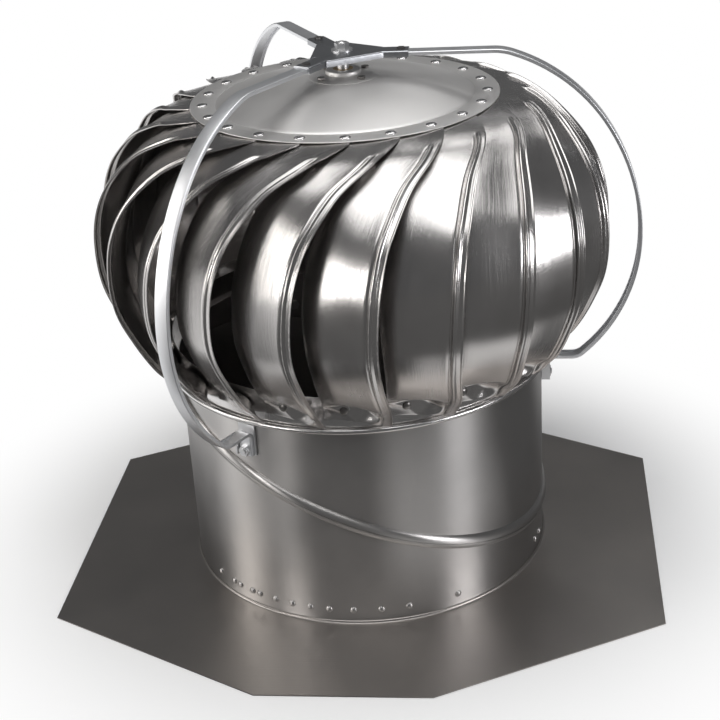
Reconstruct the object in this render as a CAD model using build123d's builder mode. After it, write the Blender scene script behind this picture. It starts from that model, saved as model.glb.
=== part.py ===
"""Roof turbine ventilator for a 12 inch round throat, with external rotor braces.

A sheet-metal roof flashing carries a two-piece throat whose halves meet in a seam
tilted by 22.5 degrees: turning the upper half on the lower one sets the head level
on a sloping roof. Three strap braces rise from the upper half, pass outside the
rotor and meet in a three-armed spider, which holds a fixed stub shaft. The rotor
hangs on that shaft: a domed cap with a bearing hub, 21 scooped vanes and a bottom
ring that skirts the throat.

Millimetres and degrees. +Z is up, -Y is the front. The origin is on the throat's
axis at the underside of the flashing.
"""

import os
from math import cos, radians, sin, sqrt, tan

from build123d import *

os.makedirs("parts", exist_ok=True)

# ---------------------------------------------------------------- driving dimensions
SHEET = 0.8  # gauge of the throat, flashing, cap and vanes
RUN_GAP = 0.35  # clearance between faces that turn on each other
FIT = 0.02  # radial clearance of a fixed fit
BUSH_PLAY = 0.05  # radial clearance of the shaft in its bushes

# flashing
FLASH_HALF_WIDTH = 248.0
FLASH_FRONT = 246.5
FLASH_BACK = 214.5
CORNER_RUN_X = 179.5  # how far each cut corner reaches along the front and back edges
CORNER_RUN_Y = 97.5  # and along the side edges
COLLAR_HEIGHT = 9.0

# throat and its swivel seam
THROAT_R = 152.4  # outside radius of the throat
SEAM_TILT = 22.5
SEAM_DESCENT = -9.0  # azimuth towards which the seam runs downhill
BEAD_HALF_HEIGHT = 5.5
BEAD_PROUD = 3.2  # how far the rolled bead stands out from the tube
BEAD_EDGE = 0.3  # and how far where it runs out into the tube
THROAT_TOP = 187.0
SEAM_HEADROOM = 18.9  # from the seam's highest point up to the throat's top

# rotor
VANES = 21
ROTOR_PHASE = 1.85  # azimuth of one of the cap rivets
CAP_R = 121.75
CAP_RIM_Z = 394.7
RIM_WIDTH = 19.75
CROWN_MID_R = 64.0
CROWN_MID_RISE = 11.6
CROWN_FLAT_R = 30.0
CROWN_RISE = 15.8
RING_CLEARANCE = 3.2  # between the throat and the ring's band
RING_BOTTOM = 177.0
RING_HEIGHT = 30.0
RING_LIP = 4.8  # how far the ring's rolled lip stands out
RING_LIP_H = 4.5
RIVET_CIRCLE_R = 112.0
RING_RIVET_UP = 20.0  # height of the ring's rivets above its lower edge
RIVET_R = 1.6
RIVET_HEAD_R = 3.3
RIVET_HEAD_H = 1.3
RIVET_SIDES = 6

# bearing hub, shaft and spider
HUB_R = 14.0
HUB_FLANGE_R = 28.0
HUB_FLANGE_T = 1.5
HUB_TOP_RISE = 5.5  # hub above its seat on the cap
HUB_LENGTH = 70.0
HUB_RIVET_R = 22.0
HUB_RIVET_AZIMUTHS = (45.0, 135.0, 225.0, 315.0)
BUSH_R = 8.0
BUSH_LENGTH = 12.0
SHAFT_R = 4.75
STUD_R = 3.0
COLLAR_R = 9.0
COLLAR_T = 5.0
SPIDER_TOP = 430.0
SPIDER_T = 1.2
SPIDER_ARM_W = 15.0
SPIDER_REACH = 52.0
SPIDER_CENTRE_R = 19.0
SPIDER_FLANGE = 5.0
SPIDER_BLEND = 8.0  # cut across each inner corner between two arms
SPIDER_RIVET_R = 46.0
WASHER_R = 8.5
WASHER_T = 1.2
NUT_AF = 10.0
NUT_H = 5.0

# braces and their brackets
BRACE_AZIMUTHS = (-120.0, 0.0, 120.0)
FOOT_DROPS = (18.0, 18.0, 11.5)  # how far each brace's foot turns down on its bracket
BRACE_W = 12.0
BRACE_T = 3.0
BRACE_INNER_R = 41.0
SHOULDER_START = 117.0
SHOULDER_END = (132.0, 426.3)
BRACE_UPPER = (204.0, 371.0)
BRACE_WIDEST = (233.4, 272.0)
BRACE_LOWER = (214.0, 201.5)
BRACE_HEEL = (187.0, 168.5)
FOOT_START = (178.0, 165.0)
FOOT_BEND = 3.0
FOOT_Z = 165.0  # underside of the strap where it runs in to the throat
BRACKET_W = 16.0
BRACKET_T = 1.5
BRACKET_TOP = 173.0
BRACKET_EAR = 7.0
BOLT_R = 2.4
BOLT_HEAD_R = 4.6
BOLT_HEAD_H = 2.6
BOLT_UP = 4.4  # the bolt's height above the foot's lower end
FOOT_NUT_AF = 8.0
FOOT_NUT_H = 3.2
THREAD_END = 1.0  # thread that stands out of a nut

# A vane leaves the cap as a tab and is scooped from there down to the ring. Each station
# of its two long edges gives the share of the way down, how far the edge bulges beyond the
# straight line from the cap's rim to the ring, and its angle back from the vane's own cap
# rivet: first for the inner edge, then for the outer, hemmed edge.
SHINGLE = 1.15  # drop of each tab's inner corner, so that it passes under its neighbour
TAB_LAP = 1.7  # degrees by which neighbouring tabs lap
TAB_INNER_R = 106.0
VANE_SEAT_GAP = 0.25  # between the ring and the vanes' inner edges
VANE_END = 7.5  # height of the hem's lower end above the ring's lower edge
RING_MEETS = 0.93  # share of the way down at which the vanes reach the ring
SCOOP_STATIONS = (
    ((0.036, 12.0, -26.0), (0.015, 18.0, -5.0)),
    ((0.084, 22.0, -33.5), (0.041, 31.0, -10.5)),
    ((0.162, 32.0, -40.0), (0.109, 46.5, -19.0)),
    ((0.257, 37.5, -43.4), (0.231, 62.5, -25.3)),
    ((0.377, 42.0, -45.3), (0.362, 69.0, -28.3)),
    ((0.506, 43.0, -46.0), (0.506, 67.0, -29.6)),
    ((0.649, 38.0, -45.8), (0.654, 59.0, -29.9)),
    ((0.783, 24.5, -45.1), (0.787, 43.5, -28.9)),
    ((0.883, 10.0, -44.6), (0.897, 27.5, -27.2)),
    ((0.931, 0.0, -44.5), (0.959, 15.0, -26.6)),
    ((0.974, 0.0, -44.5), (1.0, 7.5, -26.5)),
)
# Height of the vane's face above the chord between its edges at the quarter width
# and at the hem line, for each station.
VANE_CROWN = (
    (-0.15, -0.1),
    (-0.15, -0.1),
    (1.5, 1.0),
    (3.0, 1.5),
    (4.0, 1.8),
    (4.0, 1.8),
    (3.5, 1.8),
    (3.5, 1.8),
    (3.5, 1.8),
    (3.0, 1.6),
    (1.5, 1.2),
    (-0.6, 0.8),
    (-0.8, 0.5),
)
CROWN_AT = 0.30  # share of the width at which the face stands highest
HEM_WIDTH = 8.5
RING_RIVET_BACK = -39.0  # angle of a ring rivet back from its vane's cap rivet

# ---------------------------------------------------------------- derived sizes
COS_TILT = cos(radians(SEAM_TILT))
DESCENT = Vector(cos(radians(SEAM_DESCENT)), sin(radians(SEAM_DESCENT)), 0)
SEAM_NORMAL = DESCENT * sin(radians(SEAM_TILT)) + Vector(0, 0, COS_TILT)
SEAM_X = DESCENT * COS_TILT - Vector(0, 0, sin(radians(SEAM_TILT)))
SEAM_REACH = THROAT_R * tan(radians(SEAM_TILT))  # the seam's rise and fall about its middle
SEAM_Z = THROAT_TOP - SEAM_HEADROOM - SEAM_REACH  # height of the seam on the axis
BORE_R = THROAT_R - SHEET
RING_R = THROAT_R + RING_CLEARANCE + SHEET
RING_SEAT_R = RING_R + SHEET + VANE_SEAT_GAP
VANE_PITCH = 360.0 / VANES
TAB_Z = CAP_RIM_Z - SHEET - FIT
VANE_DROP = TAB_Z - RING_BOTTOM - VANE_END
CROWN_Z = CAP_RIM_Z + CROWN_RISE
HUB_TOP = CROWN_Z + HUB_TOP_RISE
HUB_BOTTOM = HUB_TOP - HUB_LENGTH
SPIDER_UNDER = SPIDER_TOP - SPIDER_T
SHAFT_BOTTOM = HUB_BOTTOM - RUN_GAP - COLLAR_T
BOLT_SEAT_R = sqrt(BORE_R**2 - BOLT_HEAD_R**2) - FIT
STUD_TOP = SPIDER_TOP + WASHER_T + NUT_H + THREAD_END
BRACKET_SEAT = THROAT_R + FIT
FOOT_SEAT = BRACKET_SEAT + BRACKET_T + FIT
FOOT_FACE_R = FOOT_SEAT + BRACE_T
BRACE_SEAT_Z = SPIDER_UNDER - FIT


def cut_plane(offset):
    """Plane parallel to the seam, its origin on the throat's axis."""
    return Plane(origin=(0, 0, SEAM_Z + offset / COS_TILT), x_dir=SEAM_X, z_dir=SEAM_NORMAL)


def radial_plane(azimuth):
    """Upright plane through the axis: x is the radius, y the height."""
    a = radians(azimuth)
    return Plane(origin=(0, 0, 0), x_dir=(cos(a), sin(a), 0), z_dir=(sin(a), -cos(a), 0))


def outward_plane(azimuth, radius, height):
    """Plane facing outwards at a radius: x is level, y is up."""
    a = radians(azimuth)
    out = Vector(cos(a), sin(a), 0)
    return Plane(origin=out * radius + Vector(0, 0, height), x_dir=(-sin(a), cos(a), 0), z_dir=out)


def level_plane(azimuth, radius, height):
    """Level plane whose x axis points outwards at the azimuth."""
    a = radians(azimuth)
    out = Vector(cos(a), sin(a), 0)
    return Plane(origin=out * radius + Vector(0, 0, height), x_dir=out)


def strap_plane(azimuth):
    """Upright plane across the strap at its inner end: x is level, y is up."""
    a = radians(azimuth)
    out = Vector(cos(a), sin(a), 0)
    start = out * BRACE_INNER_R + Vector(0, 0, BRACE_SEAT_Z)
    return Plane(origin=start, x_dir=(-sin(a), cos(a), 0), z_dir=out)


def tangent_at_end(curve, azimuth):
    """Direction in which a curve of a radial plane ends, in that plane's own axes."""
    direction = curve % 1
    a = radians(azimuth)
    return (direction.X * cos(a) + direction.Y * sin(a), direction.Z)


def at(station):
    """Point from radius, angle and height."""
    radius, angle, height = station
    a = radians(angle)
    return Vector(radius * cos(a), radius * sin(a), height)


def save(part, label):
    """Label a finished piece and write it."""
    part.label = label
    export_step(part, "parts/" + label + ".step")


# ---------------------------------------------------------------- flashing
with BuildPart() as flashing:
    with BuildSketch(Plane.XY):
        with BuildLine():
            Polyline(
                (CORNER_RUN_X - FLASH_HALF_WIDTH, -FLASH_FRONT),
                (FLASH_HALF_WIDTH - CORNER_RUN_X, -FLASH_FRONT),
                (FLASH_HALF_WIDTH, CORNER_RUN_Y - FLASH_FRONT),
                (FLASH_HALF_WIDTH, FLASH_BACK - CORNER_RUN_Y),
                (FLASH_HALF_WIDTH - CORNER_RUN_X, FLASH_BACK),
                (CORNER_RUN_X - FLASH_HALF_WIDTH, FLASH_BACK),
                (-FLASH_HALF_WIDTH, FLASH_BACK - CORNER_RUN_Y),
                (-FLASH_HALF_WIDTH, CORNER_RUN_Y - FLASH_FRONT),
                close=True,
            )
        make_face()
        Circle(THROAT_R + FIT, mode=Mode.SUBTRACT)
    extrude(amount=SHEET)
    with BuildSketch(Plane.XY.offset(SHEET)):
        Circle(THROAT_R + FIT + SHEET)
        Circle(THROAT_R + FIT, mode=Mode.SUBTRACT)
    extrude(amount=COLLAR_HEIGHT - SHEET)
save(flashing.part, "roof_flashing")

# ---------------------------------------------------------------- throat
def rolled_edge(side):
    """Half of the seam bead, on the lower (-1) or the upper (+1) half of the throat."""
    with BuildPart() as bead:
        for offset, proud in ((RUN_GAP / 2, BEAD_PROUD), (BEAD_HALF_HEIGHT, BEAD_EDGE)):
            with BuildSketch(cut_plane(side * offset)):
                Ellipse(THROAT_R / COS_TILT + proud, THROAT_R + proud)
        loft(ruled=True)
    return bead.part


# lower half: open to the roof, its oval upper edge rolled out into half of the seam bead
with BuildPart() as lower_throat:
    with BuildSketch(Plane.XY):
        Circle(THROAT_R)
    extrude(amount=THROAT_TOP)
    split(bisect_by=cut_plane(-RUN_GAP / 2), keep=Keep.BOTTOM)
    add(rolled_edge(-1))
    with BuildSketch(Plane.XY):
        Circle(BORE_R)
    extrude(amount=THROAT_TOP, mode=Mode.SUBTRACT)
save(lower_throat.part, "lower_throat")

# upper half: the other half of the bead, and holes for the brace bolts
with BuildPart() as upper_throat:
    with BuildSketch(Plane.XY.offset(THROAT_TOP)):
        Circle(THROAT_R)
    extrude(amount=-THROAT_TOP)
    split(bisect_by=cut_plane(RUN_GAP / 2), keep=Keep.TOP)
    add(rolled_edge(1))
    with BuildSketch(Plane.XY):
        Circle(BORE_R)
    extrude(amount=THROAT_TOP, mode=Mode.SUBTRACT)
    for azimuth, drop in zip(BRACE_AZIMUTHS, FOOT_DROPS):
        with BuildSketch(outward_plane(azimuth, BORE_R - BOLT_HEAD_R, FOOT_Z - drop + BOLT_UP)):
            Circle(BOLT_R + FIT)
        extrude(amount=2 * BOLT_HEAD_R, mode=Mode.SUBTRACT)
save(upper_throat.part, "upper_throat")

# ---------------------------------------------------------------- brackets and braces
for number, (azimuth, drop) in enumerate(zip(BRACE_AZIMUTHS, FOOT_DROPS), start=1):
    foot_bottom = FOOT_Z - drop
    with BuildPart() as bracket:
        with BuildSketch(outward_plane(azimuth, BRACKET_SEAT, foot_bottom)):
            with Locations((0, (BRACKET_TOP - foot_bottom) / 2)):
                Rectangle(BRACKET_W, BRACKET_TOP - foot_bottom)
        extrude(amount=BRACKET_T)
        with BuildSketch(outward_plane(azimuth, BRACKET_SEAT, foot_bottom)):
            with Locations((BRACKET_T / 2 - BRACKET_W / 2, (FOOT_Z - foot_bottom) / 2)):
                Rectangle(BRACKET_T, FOOT_Z - foot_bottom)
        extrude(amount=BRACKET_EAR)
        with BuildSketch(outward_plane(azimuth, BRACKET_SEAT, foot_bottom + BOLT_UP)):
            Circle(BOLT_R + FIT)
        extrude(amount=BRACKET_EAR, mode=Mode.SUBTRACT)
    save(bracket.part, f"brace_bracket_{number}")

    with BuildPart() as brace:
        with BuildLine(radial_plane(azimuth)):
            Line((BRACE_INNER_R, BRACE_SEAT_Z), (SHOULDER_START, BRACE_SEAT_Z))
            shoulder = TangentArc((SHOULDER_START, BRACE_SEAT_Z), SHOULDER_END, tangent=(1, 0))
            upper = TangentArc(SHOULDER_END, BRACE_UPPER, tangent=tangent_at_end(shoulder, azimuth))
            widest = TangentArc(BRACE_UPPER, BRACE_WIDEST, tangent=tangent_at_end(upper, azimuth))
            lower = TangentArc(BRACE_WIDEST, BRACE_LOWER, tangent=tangent_at_end(widest, azimuth))
            heel = TangentArc(BRACE_LOWER, BRACE_HEEL, tangent=tangent_at_end(lower, azimuth))
            TangentArc(BRACE_HEEL, FOOT_START, tangent=tangent_at_end(heel, azimuth))
            Line(FOOT_START, (FOOT_FACE_R + FOOT_BEND, FOOT_Z))
            TangentArc(
                (FOOT_FACE_R + FOOT_BEND, FOOT_Z),
                (FOOT_FACE_R, FOOT_Z - FOOT_BEND),
                tangent=(-1, 0),
            )
            Line((FOOT_FACE_R, FOOT_Z - FOOT_BEND), (FOOT_FACE_R, foot_bottom))
        with BuildSketch(strap_plane(azimuth)):
            with Locations((0, -BRACE_T / 2)):
                Rectangle(BRACE_W, BRACE_T)
        sweep()
        with BuildSketch(outward_plane(azimuth, BRACKET_SEAT, foot_bottom + BOLT_UP)):
            Circle(BOLT_R + FIT)
        extrude(amount=BRACKET_EAR, mode=Mode.SUBTRACT)
        with BuildSketch(level_plane(azimuth, SPIDER_RIVET_R, SPIDER_TOP)):
            Circle(RIVET_R + FIT)
        extrude(amount=-SPIDER_T - 2 * BRACE_T, mode=Mode.SUBTRACT)
    save(brace.part, f"brace_{number}")

# ---------------------------------------------------------------- spider
def spider_outline(inset):
    """Three straight arms blended into a round centre, drawn in by an inset."""
    with BuildSketch() as outline:
        Circle(SPIDER_CENTRE_R)
        with PolarLocations(SPIDER_REACH / 2, len(BRACE_AZIMUTHS)):
            Rectangle(SPIDER_REACH, SPIDER_ARM_W)
        inner_corners = outline.vertices().sort_by_distance((0, 0, 0))[: 2 * len(BRACE_AZIMUTHS)]
        chamfer(inner_corners, SPIDER_BLEND)
        offset(amount=-inset, kind=Kind.INTERSECTION)
    return outline.sketch


# pressed plate with its edges turned down; the arm ends are open where the straps leave
with BuildPart() as spider:
    with BuildSketch(Plane.XY.offset(SPIDER_TOP - SPIDER_FLANGE)):
        add(spider_outline(0.0))
    extrude(amount=SPIDER_FLANGE)
    with BuildSketch(Plane.XY.offset(SPIDER_TOP - SPIDER_FLANGE)):
        add(spider_outline(SPIDER_T))
        with PolarLocations(SPIDER_REACH, len(BRACE_AZIMUTHS)):
            Rectangle(SPIDER_ARM_W, SPIDER_ARM_W - 2 * SPIDER_T)
    extrude(amount=SPIDER_FLANGE - SPIDER_T, mode=Mode.SUBTRACT)
    with BuildSketch(Plane.XY.offset(SPIDER_TOP)):
        Circle(STUD_R + FIT)
        with PolarLocations(SPIDER_RIVET_R, len(BRACE_AZIMUTHS)):
            Circle(RIVET_R + FIT)
    extrude(amount=-SPIDER_T, mode=Mode.SUBTRACT)
save(spider.part, "brace_spider")

# ---------------------------------------------------------------- shaft and its fasteners
with BuildPart() as shaft:
    with BuildSketch(Plane.XY.offset(SHAFT_BOTTOM)):
        Circle(SHAFT_R)
    extrude(amount=SPIDER_UNDER - SHAFT_BOTTOM)
    with BuildSketch(Plane.XY.offset(SPIDER_UNDER)):
        Circle(STUD_R)
    extrude(amount=STUD_TOP - SPIDER_UNDER)
    chamfer(shaft.edges().sort_by(Axis.Z)[-1], STUD_R / 4)
save(shaft.part, "rotor_shaft")

with BuildPart() as washer:
    with BuildSketch(Plane.XY.offset(SPIDER_TOP)):
        Circle(WASHER_R)
        Circle(STUD_R + FIT, mode=Mode.SUBTRACT)
    extrude(amount=WASHER_T)
save(washer.part, "spider_washer")

with BuildPart() as nut:
    with BuildSketch(Plane.XY.offset(SPIDER_TOP + WASHER_T)):
        RegularPolygon(NUT_AF / 2, 6, major_radius=False)
        Circle(STUD_R + FIT, mode=Mode.SUBTRACT)
    extrude(amount=NUT_H)
save(nut.part, "spider_nut")

with BuildPart() as collar:
    with BuildSketch(Plane.XY.offset(SHAFT_BOTTOM)):
        Circle(COLLAR_R)
        Circle(SHAFT_R + FIT, mode=Mode.SUBTRACT)
    extrude(amount=COLLAR_T)
save(collar.part, "thrust_collar")


def rivet(seat, grip):
    """Rivet standing on its seat plane, with its shank down through the grip."""
    with BuildPart() as one:
        with BuildSketch(seat):
            RegularPolygon(RIVET_HEAD_R, RIVET_SIDES)
        extrude(amount=RIVET_HEAD_H)
        with BuildSketch(seat):
            RegularPolygon(RIVET_R, RIVET_SIDES)
        extrude(amount=-grip)
    return one.part


with BuildPart() as spider_rivets:
    for azimuth in BRACE_AZIMUTHS:
        add(rivet(level_plane(azimuth, SPIDER_RIVET_R, SPIDER_TOP), SPIDER_T + BRACE_T))
save(spider_rivets.part, "spider_rivets")

with BuildPart() as foot_bolts:
    for azimuth, drop in zip(BRACE_AZIMUTHS, FOOT_DROPS):
        height = FOOT_Z - drop + BOLT_UP
        with BuildSketch(outward_plane(azimuth, BOLT_SEAT_R, height)):
            RegularPolygon(BOLT_HEAD_R, 6)
        extrude(amount=-BOLT_HEAD_H)
        with BuildSketch(outward_plane(azimuth, BOLT_SEAT_R, height)):
            Circle(BOLT_R)
        extrude(amount=FOOT_FACE_R + FOOT_NUT_H + THREAD_END - BOLT_SEAT_R)
save(foot_bolts.part, "foot_bolts")

with BuildPart() as foot_nuts:
    for azimuth, drop in zip(BRACE_AZIMUTHS, FOOT_DROPS):
        with BuildSketch(outward_plane(azimuth, FOOT_FACE_R, FOOT_Z - drop + BOLT_UP)):
            RegularPolygon(FOOT_NUT_AF / 2, 6, major_radius=False)
            Circle(BOLT_R + FIT, mode=Mode.SUBTRACT)
        extrude(amount=FOOT_NUT_H)
save(foot_nuts.part, "foot_nuts")

# ---------------------------------------------------------------- rotor: cap and hub
with BuildPart() as cap:
    with BuildSketch(Plane.XZ):
        with BuildLine():
            Polyline(
                (CAP_R, CAP_RIM_Z),
                (CAP_R - RIM_WIDTH, CAP_RIM_Z),
                (CROWN_MID_R, CAP_RIM_Z + CROWN_MID_RISE),
                (CROWN_FLAT_R, CROWN_Z),
                (HUB_R + FIT, CROWN_Z),
                (HUB_R + FIT, CROWN_Z - SHEET),
                (CROWN_FLAT_R, CROWN_Z - SHEET),
                (CROWN_MID_R, CAP_RIM_Z + CROWN_MID_RISE - SHEET),
                (CAP_R - RIM_WIDTH, CAP_RIM_Z - SHEET),
                (CAP_R, CAP_RIM_Z - SHEET),
                close=True,
            )
        make_face()
    revolve(axis=Axis.Z)
save(cap.part, "top_cap")

with BuildPart() as hub:
    with BuildSketch(Plane.XY.offset(HUB_BOTTOM)):
        Circle(HUB_R)
        Circle(BUSH_R + FIT, mode=Mode.SUBTRACT)
    extrude(amount=HUB_LENGTH)
    with BuildSketch(Plane.XY.offset(CROWN_Z)):
        Circle(HUB_FLANGE_R)
        Circle(BUSH_R + FIT, mode=Mode.SUBTRACT)
    extrude(amount=HUB_FLANGE_T)
save(hub.part, "hub_housing")

for label, height in (("upper_bush", HUB_TOP - BUSH_LENGTH), ("lower_bush", HUB_BOTTOM)):
    with BuildPart() as bush:
        with BuildSketch(Plane.XY.offset(height)):
            Circle(BUSH_R)
            Circle(SHAFT_R + BUSH_PLAY, mode=Mode.SUBTRACT)
        extrude(amount=BUSH_LENGTH)
    save(bush.part, label)

with BuildPart() as hub_rivets:
    for azimuth in HUB_RIVET_AZIMUTHS:
        seat = level_plane(azimuth, HUB_RIVET_R, CROWN_Z + HUB_FLANGE_T)
        add(rivet(seat, HUB_FLANGE_T + SHEET))
save(hub_rivets.part, "hub_rivets")

# ---------------------------------------------------------------- rotor: ring
with BuildPart() as ring:
    with BuildSketch(Plane.XZ):
        with BuildLine():
            Polyline(
                (RING_R - SHEET, RING_BOTTOM + RING_HEIGHT),
                (RING_R, RING_BOTTOM + RING_HEIGHT),
                (RING_R, RING_BOTTOM + RING_LIP_H),
                (RING_R + RING_LIP, RING_BOTTOM + RING_LIP_H / 2),
                (RING_R, RING_BOTTOM),
                (RING_R - SHEET, RING_BOTTOM),
                close=True,
            )
        make_face()
    revolve(axis=Axis.Z)
save(ring.part, "bottom_ring")

# ---------------------------------------------------------------- rotor: vanes
def scoop_point(share, bulge, angle):
    """Radius, angle and height of an edge of the scoop."""
    line = CAP_R + (RING_SEAT_R - CAP_R) * min(share / RING_MEETS, 1)
    return (line + bulge, angle, TAB_Z - VANE_DROP * share)


# the tab lies flat under the cap and lifts over the next one at its outer corner
vane_stations = [
    ((radius, -VANE_PITCH - TAB_LAP, TAB_Z - SHINGLE), (radius, TAB_LAP, TAB_Z))
    for radius in (TAB_INNER_R, CAP_R)
]
vane_stations += [(scoop_point(*inner), scoop_point(*outer)) for inner, outer in SCOOP_STATIONS]


def vane_section(index):
    """Closed outline of the vane's sheet at one station: its face, then its back."""
    inner, outer = vane_stations[index]
    above = vane_stations[max(index - 1, 0)]
    below = vane_stations[min(index + 1, len(vane_stations) - 1)]
    across = at(outer) - at(inner)
    along = at(below[0]) + at(below[1]) - at(above[0]) - at(above[1])
    along = along - across * (along.dot(across) / across.dot(across))
    width = across.length
    crown, hem = VANE_CROWN[index]
    face = ((0.0, 0.0), (CROWN_AT * width, crown), (width - HEM_WIDTH, hem), (width, 0.0))
    back = [(x, y - SHEET) for x, y in reversed(face)]
    plane = Plane(origin=at(inner), x_dir=across, z_dir=along)
    return [plane.from_local_coords((x, y, 0)) for x, y in (*face, *back)]


def flat(*corners):
    """Flat face through its corners."""
    return Face(Wire.make_polygon(corners, close=True))


# the sheet is creased flat between stations, so its skin is two facets to each panel
vane_sections = [vane_section(index) for index in range(len(vane_stations))]
vane_skin = [flat(*vane_sections[0]), flat(*vane_sections[-1])]
for upper_section, lower_section in zip(vane_sections, vane_sections[1:]):
    for corner in range(len(upper_section)):
        a, b = upper_section[corner - 1], upper_section[corner]
        c, d = lower_section[corner], lower_section[corner - 1]
        vane_skin += [flat(a, b, c), flat(a, c, d)]

with BuildPart() as first_vane:
    add(Solid(Shell(vane_skin)))

for number in range(VANES):
    turn = Rotation(0, 0, ROTOR_PHASE + number * VANE_PITCH)
    save(turn * first_vane.part, f"vane_{number + 1:02d}")

with BuildPart() as cap_rivets:
    for number in range(VANES):
        azimuth = ROTOR_PHASE + number * VANE_PITCH
        add(rivet(level_plane(azimuth, RIVET_CIRCLE_R, CAP_RIM_Z), 3 * SHEET))
save(cap_rivets.part, "cap_rivets")

with BuildPart() as ring_rivets:
    for number in range(VANES):
        azimuth = ROTOR_PHASE + number * VANE_PITCH + RING_RIVET_BACK
        add(rivet(outward_plane(azimuth, RING_SEAT_R, RING_BOTTOM + RING_RIVET_UP), 2.5 * SHEET))
save(ring_rivets.part, "ring_rivets")
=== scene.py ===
"""Looks of a roof turbine ventilator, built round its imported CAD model.

The rotor's vanes, cap and ring, the two throat halves, the flashing, the strap braces and
their spider are worked out again as smooth sheet-metal surfaces in the places of their CAD
nodes. Small hardware keeps its CAD mesh or gets rounded heads. Sizes are in metres.
"""

import math

import bpy
import numpy as np
from bpy.props import FloatProperty, FloatVectorProperty, IntProperty, PointerProperty
from mathutils import Matrix, Vector


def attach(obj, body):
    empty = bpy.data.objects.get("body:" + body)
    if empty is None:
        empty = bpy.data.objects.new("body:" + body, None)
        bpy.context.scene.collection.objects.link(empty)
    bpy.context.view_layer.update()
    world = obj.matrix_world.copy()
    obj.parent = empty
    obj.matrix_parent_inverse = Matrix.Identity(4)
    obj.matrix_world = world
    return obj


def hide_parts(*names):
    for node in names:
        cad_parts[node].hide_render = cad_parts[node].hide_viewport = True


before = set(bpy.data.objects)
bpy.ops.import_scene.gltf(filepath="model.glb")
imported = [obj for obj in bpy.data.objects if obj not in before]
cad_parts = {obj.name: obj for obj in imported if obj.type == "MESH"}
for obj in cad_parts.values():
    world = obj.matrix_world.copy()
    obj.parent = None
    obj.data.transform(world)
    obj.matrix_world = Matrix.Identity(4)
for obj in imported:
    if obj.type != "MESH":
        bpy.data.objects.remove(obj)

bl_info = {
    "name": "Roof turbine ventilator",
    "version": (1, 0, 0),
    "blender": (4, 5, 0),
    "location": "View3D > Sidebar > Ventilator",
    "description": "Builds the finished surfaces of a roof turbine ventilator",
    "category": "Object",
}

MM = 0.001

# ---- sizes shared with the CAD model
SHEET = 0.8 * MM
GAP = 0.35 * MM
VANES = 21
VANE_PITCH = 360.0 / VANES
ROTOR_PHASE = 1.85
THROAT_R = 152.4 * MM
SEAM_TILT = math.radians(22.5)
SEAM_DESCENT = math.radians(-9.0)
SEAM_Z = 104.974 * MM
BRACE_AZIMUTHS = (-120.0, 0.0, 120.0)

# Stations of a vane's inner and outer edge: radius in mm, degrees back from the vane's own
# cap rivet, height in mm, from the tab under the cap down to the ring.
VANE_INNER = np.array([
    (106.0, -18.84, 392.7), (121.75, -18.84, 392.7), (135.0, -26.0, 386.4), (147.0, -33.5, 376.4),
    (160.0, -40.0, 360.0), (169.0, -43.4, 340.0), (178.0, -45.3, 315.0), (184.0, -46.0, 288.0),
    (184.5, -45.8, 258.0), (176.5, -45.1, 230.0), (165.5, -44.6, 209.0), (157.45, -44.5, 199.0),
    (157.45, -44.5, 190.0),
])
VANE_OUTER = np.array([
    (106.0, 1.7, 393.88), (121.75, 1.7, 393.88), (140.5, -5.0, 390.7), (154.5, -10.5, 385.4),
    (172.5, -19.0, 371.0), (193.0, -25.3, 345.5), (204.5, -28.3, 318.0), (208.4, -29.6, 288.0),
    (206.0, -29.9, 257.0), (195.5, -28.9, 229.0), (183.5, -27.2, 206.0), (172.5, -26.6, 193.0),
    (165.0, -26.5, 184.5),
])
VANE_CROWN = np.array([0.0, 0.0, 1.5, 3.0, 4.0, 4.0, 3.5, 3.5, 3.5, 3.0, 1.5, -0.4, -0.6])
VANE_HEM_RISE = np.array([0.0, 0.0, 0.8, 1.2, 1.6, 1.6, 1.6, 1.6, 1.6, 1.4, 1.0, 0.6, 0.4])


# ---- surfaces
def through(values, at):
    """Smooth curve through evenly numbered values: Catmull-Rom's cubic between each pair,
    with the first and last value repeated past the ends. `at` holds places along the count."""
    values = np.asarray(values, float)
    last = len(values) - 1
    at = np.clip(at, 0.0, last - 1e-9)
    i = at.astype(int)
    t = at - i
    if values.ndim > 1:
        t = t[:, None]
    a, b = values[np.maximum(i - 1, 0)], values[i]
    c, d = values[np.minimum(i + 1, last)], values[np.minimum(i + 2, last)]
    return 0.5 * (2 * b + (c - a) * t + (2 * a - 5 * b + 4 * c - d) * t**2 + (3 * (b - c) + d - a) * t**3)


def step(low, high, x):
    """Smooth step from 0 at `low` to 1 at `high`: 3t squared less 2t cubed."""
    t = np.clip((x - low) / (high - low), 0.0, 1.0)
    return t * t * (3 - 2 * t)


def unit(vectors):
    """Vectors divided by their lengths."""
    return vectors / np.linalg.norm(vectors, axis=-1, keepdims=True)


def polar(radius, degrees, height):
    """Points at a radius and an angle round the axis, at a height."""
    a = np.radians(degrees)
    return np.stack(np.broadcast_arrays(radius * np.cos(a), radius * np.sin(a), height), axis=-1)


def turned(points, degrees):
    """Points turned round the upright axis."""
    c, s = math.cos(math.radians(degrees)), math.sin(math.radians(degrees))
    return points @ np.array([[c, s, 0.0], [-s, c, 0.0], [0.0, 0.0, 1.0]])


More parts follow.
